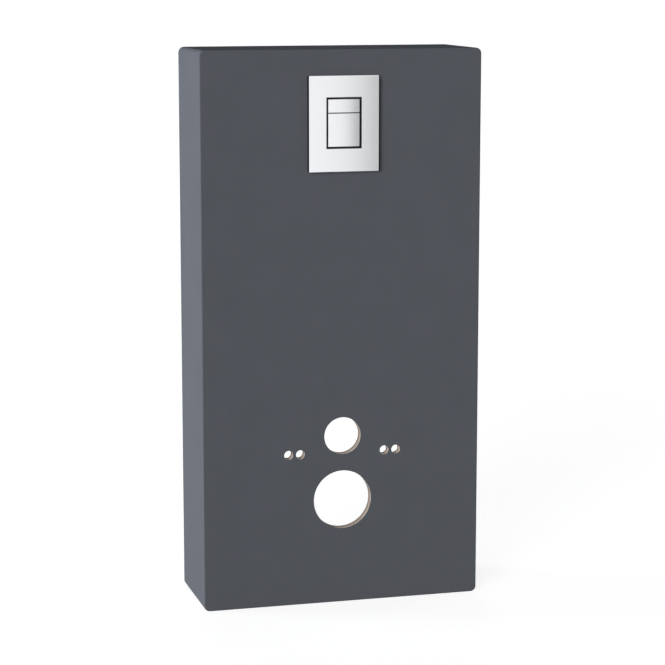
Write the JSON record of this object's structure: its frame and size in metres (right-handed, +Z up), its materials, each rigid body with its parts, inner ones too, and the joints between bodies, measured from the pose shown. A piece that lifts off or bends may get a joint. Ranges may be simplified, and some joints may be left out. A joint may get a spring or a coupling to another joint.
{
  "type": "boxed-in wall-hung toilet frame with concealed cistern",
  "caption": "Boarded installation frame for a wall-hung toilet, with dual-flush plate, pan stud holes, flush inlet and waste openings, and a steel frame with concealed cistern behind.",
  "frame": {"origin": "middle of the base on the floor, halfway from the flush plate's face to the wall", "axes": "+Z up, +Y from the front to the wall behind, +X to the right seen from the front"},
  "size_m": [0.59, 0.22, 1.15],
  "materials": {
    "coated_board": "matt mineral coat",
    "satin_chrome": "satin",
    "dark_plastic": "matt",
    "pale_plastic": "matt",
    "cistern_plastic": "moulded",
    "frame_paint": "powder coat",
    "zinc_steel": "zinc plated",
    "brass": "turned"
  },
  "bodies": {
    "frame": {"front_panel": "coated_board", "left_side_panel": "coated_board", "right_side_panel": "coated_board", "top_panel": "coated_board", "flush_plate": "satin_chrome", "key_tray": "dark_plastic", "service_shaft": "pale_plastic", "left_upright": "frame_paint", "right_upright": "frame_paint", "top_rail": "frame_paint", "middle_rail": "frame_paint", "stud_rail": "frame_paint", "lower_rail": "frame_paint", "left_foot": "zinc_steel", "right_foot": "zinc_steel", "cistern_tank": "cistern_plastic", "cistern_lid": "cistern_plastic", "left_cistern_bracket": "zinc_steel", "right_cistern_bracket": "zinc_steel", "flush_outlet": "pale_plastic", "outlet_nut": "dark_plastic", "supply_nipple": "brass", "left_wall_bar": "zinc_steel", "right_wall_bar": "zinc_steel", "left_wall_bracket": "zinc_steel", "right_wall_bracket": "zinc_steel"},
    "small_key": {"small_flush_key": "satin_chrome"},
    "full_key": {"full_flush_key": "satin_chrome"}
  },
  "joints": [
    {"name": "small_key_press", "type": "slide", "parent": "frame", "child": "small_key", "axis": [0, 1, 0], "range_m": [0, 0.006], "stiffness_N_per_m": 500, "springref_m": -0.004},
    {"name": "full_key_press", "type": "slide", "parent": "frame", "child": "full_key", "axis": [0, 1, 0], "range_m": [0, 0.006], "stiffness_N_per_m": 500, "springref_m": -0.004}
  ]
}
